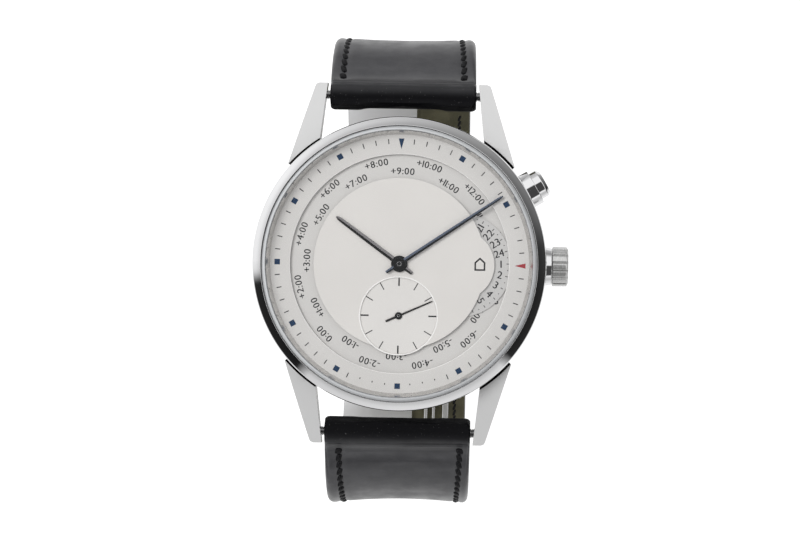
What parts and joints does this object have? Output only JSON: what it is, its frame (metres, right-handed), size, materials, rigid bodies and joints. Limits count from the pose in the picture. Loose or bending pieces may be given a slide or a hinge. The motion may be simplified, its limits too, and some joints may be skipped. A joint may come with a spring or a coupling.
{
  "type": "wristwatch",
  "caption": "Round steel world time wristwatch with a turning zone ring, an off-centre day disc, small seconds and a black leather strap closed by a folding clasp.",
  "frame": {"origin": "on the dial axis, at the flat outer face of the strap that the watch stands on", "axes": "+Z out of the dial along its axis, +Y towards 12 o'clock, +X towards 3 o'clock and the crown"},
  "size_m": [0.0428, 0.0652, 0.0539],
  "materials": {
    "polished_steel": "polished and brushed stainless steel",
    "steel_parts": "bright turned steel",
    "sapphire": "clear sapphire with an anti-reflection coating",
    "seal_rubber": "black seal ring",
    "silver_dial": "matt silver-white plating with printed marks",
    "dark_hands": "polished dark blue-black steel",
    "gilt_brass": "gilt brass",
    "plated_brass": "rhodium-plated brass with a fine striped finish",
    "blued_steel": "blued steel",
    "ruby": "polished synthetic ruby",
    "rotor_metal": "plated heavy metal with circular lines",
    "black_leather": "smooth black waxed leather with a satin sheen",
    "olive_lining": "matt olive brown lining leather"
  },
  "bodies": {
    "case": {"mid_case": "polished_steel", "bezel": "polished_steel", "crystal": "sapphire", "crystal_gasket": "seal_rubber", "flange_ring": "polished_steel", "back_ring": "polished_steel", "back_screws": "polished_steel", "back_crystal": "sapphire", "back_gasket": "seal_rubber", "case_spring_bars": "polished_steel", "crown_tube": "polished_steel", "pusher_sleeve": "polished_steel", "pusher_spring": "steel_parts", "outer_dial": "silver_dial", "centre_dial": "silver_dial", "seconds_dial": "silver_dial", "mainplate": "plated_brass", "three_quarter_plate": "plated_brass", "balance_cock": "plated_brass", "movement_screws": "blued_steel", "jewels": "ruby", "movement_ring": "plated_brass", "rotor_bearing": "steel_parts"},
    "setting_lever": {"setting_lever": "steel_parts"},
    "crown": {"crown": "polished_steel", "crown_stem": "steel_parts", "winding_pinion": "steel_parts"},
    "city_pusher": {"city_pusher": "polished_steel"},
    "home_corrector": {"home_corrector": "polished_steel"},
    "strap_upper": {"strap_upper": "black_leather", "strap_upper_lining": "olive_lining", "clasp_bar": "polished_steel"},
    "strap_lower": {"strap_lower": "black_leather", "strap_lower_lining": "olive_lining", "clasp_leaf": "polished_steel", "clasp_hinge_pin": "polished_steel", "clasp_loop": "polished_steel", "clasp_stud": "polished_steel"},
    "clasp_blade": {"clasp_blade": "polished_steel"},
    "city_ring": {"city_ring": "silver_dial"},
    "home_disc": {"home_disc": "silver_dial"},
    "hour_hand": {"hour_hand": "dark_hands", "hour_wheel": "gilt_brass"},
    "minute_hand": {"minute_hand": "dark_hands", "cannon_pinion": "steel_parts"},
    "minute_wheel": {"minute_wheel": "gilt_brass"},
    "seconds_hand": {"seconds_hand": "dark_hands", "fourth_wheel": "gilt_brass"},
    "third_wheel": {"third_wheel": "gilt_brass"},
    "centre_wheel": {"centre_wheel": "gilt_brass"},
    "barrel": {"barrel": "gilt_brass"},
    "escape_wheel": {"escape_wheel": "steel_parts"},
    "pallet_fork": {"pallet_fork": "steel_parts"},
    "balance": {"balance_wheel": "gilt_brass", "hairspring": "blued_steel"},
    "ratchet_wheel": {"ratchet_wheel": "steel_parts"},
    "crown_wheel": {"crown_wheel": "steel_parts"},
    "rotor": {"rotor": "rotor_metal", "rotor_screw": "blued_steel"}
  },
  "joints": [
    {"name": "strap_upper_swing", "type": "hinge", "parent": "case", "child": "strap_upper", "pos_m": [0, 0.0231, 0.0453], "axis": [1, 0, 0], "range_deg": [0, 40]},
    {"name": "strap_lower_swing", "type": "hinge", "parent": "case", "child": "strap_lower", "pos_m": [0, -0.0231, 0.0453], "axis": [-1, 0, 0], "range_deg": [0, 40]},
    {"name": "clasp_fold", "type": "hinge", "parent": "strap_lower", "child": "clasp_blade", "pos_m": [0, -0.02523, 0.01229], "axis": [1, 0, 0], "range_deg": [0, 32]},
    {"name": "crown_pull", "type": "slide", "parent": "case", "child": "setting_lever", "axis": [1, 0, 0], "range_m": [0, 0.0012]},
    {"name": "crown_turn", "type": "hinge", "parent": "setting_lever", "child": "crown", "pos_m": [0.02075, 0, 0.04765], "axis": [1, 0, 0], "continuous": true},
    {"name": "pusher_press", "type": "slide", "parent": "case", "child": "city_pusher", "axis": [-0.8599, -0.5105, 0], "range_m": [0, 0.0008], "stiffness_N_per_m": 800, "deforming": ["pusher_spring"]},
    {"name": "corrector_press", "type": "slide", "parent": "case", "child": "home_corrector", "axis": [0.866, 0.5, 0], "range_m": [0, 0.0005], "stiffness_N_per_m": 800},
    {"name": "minute_hand_turn", "type": "hinge", "parent": "case", "child": "minute_hand", "pos_m": [0, 0, 0.051], "axis": [0, 0, 1], "continuous": true},
    {"name": "minute_wheel_turn", "type": "hinge", "parent": "case", "child": "minute_wheel", "pos_m": [-0.00294, 0.0017, 0.0498], "axis": [0, 0, 1], "continuous": true},
    {"name": "hour_hand_turn", "type": "hinge", "parent": "case", "child": "hour_hand", "pos_m": [0, 0, 0.051], "axis": [0, 0, 1], "continuous": true},
    {"name": "home_disc_turn", "type": "hinge", "parent": "case", "child": "home_disc", "pos_m": [0.00814, 0, 0.0504], "axis": [0, 0, 1], "continuous": true},
    {"name": "city_ring_turn", "type": "hinge", "parent": "case", "child": "city_ring", "pos_m": [0, 0, 0.0502], "axis": [0, 0, 1], "continuous": true},
    {"name": "seconds_hand_turn", "type": "hinge", "parent": "case", "child": "seconds_hand", "pos_m": [0, -0.00705, 0.0476], "axis": [0, 0, 1], "continuous": true},
    {"name": "third_wheel_turn", "type": "hinge", "parent": "case", "child": "third_wheel", "pos_m": [0.00219, -0.00393, 0.0476], "axis": [0, 0, 1], "continuous": true},
    {"name": "centre_wheel_turn", "type": "hinge", "parent": "case", "child": "centre_wheel", "pos_m": [0, 0, 0.0476], "axis": [0, 0, 1], "continuous": true},
    {"name": "barrel_turn", "type": "hinge", "parent": "case", "child": "barrel", "pos_m": [0.0035, 0.00606, 0.0473], "axis": [0, 0, 1], "continuous": true},
    {"name": "escape_wheel_turn", "type": "hinge", "parent": "case", "child": "escape_wheel", "pos_m": [-0.00323, -0.00822, 0.0476], "axis": [0, 0, 1], "continuous": true},
    {"name": "pallet_fork_swing", "type": "hinge", "parent": "case", "child": "pallet_fork", "pos_m": [-0.00578, -0.00749, 0.0476], "axis": [0, 0, 1], "range_deg": [-6, 6]},
    {"name": "balance_swing", "type": "hinge", "parent": "case", "child": "balance", "pos_m": [-0.0099, -0.0063, 0.0473], "axis": [0, 0, 1], "range_deg": [-270, 270], "stiffness_Nm_per_rad": 0.0000004},
    {"name": "ratchet_wheel_turn", "type": "hinge", "parent": "case", "child": "ratchet_wheel", "pos_m": [0.0035, 0.00606, 0.046], "axis": [0, 0, 1], "continuous": true},
    {"name": "crown_wheel_turn", "type": "hinge", "parent": "case", "child": "crown_wheel", "pos_m": [0.00573, 0, 0.046], "axis": [0, 0, 1], "continuous": true},
    {"name": "rotor_turn", "type": "hinge", "parent": "case", "child": "rotor", "pos_m": [0, 0, 0.0452], "axis": [0, 0, 1], "continuous": true}
  ],
  "couplings": [
    {"joint": "minute_wheel_turn", "follows": "minute_hand_turn", "ratio": -0.33333},
    {"joint": "hour_hand_turn", "follows": "minute_hand_turn", "ratio": 0.083333},
    {"joint": "home_disc_turn", "follows": "minute_hand_turn", "ratio": -0.041667},
    {"joint": "third_wheel_turn", "follows": "seconds_hand_turn", "ratio": -0.13333},
    {"joint": "centre_wheel_turn", "follows": "seconds_hand_turn", "ratio": 0.016667},
    {"joint": "barrel_turn", "follows": "seconds_hand_turn", "ratio": -0.0027778},
    {"joint": "escape_wheel_turn", "follows": "seconds_hand_turn", "ratio": -12},
    {"joint": "crown_wheel_turn", "follows": "ratchet_wheel_turn", "ratio": -1.7143}
  ]
}
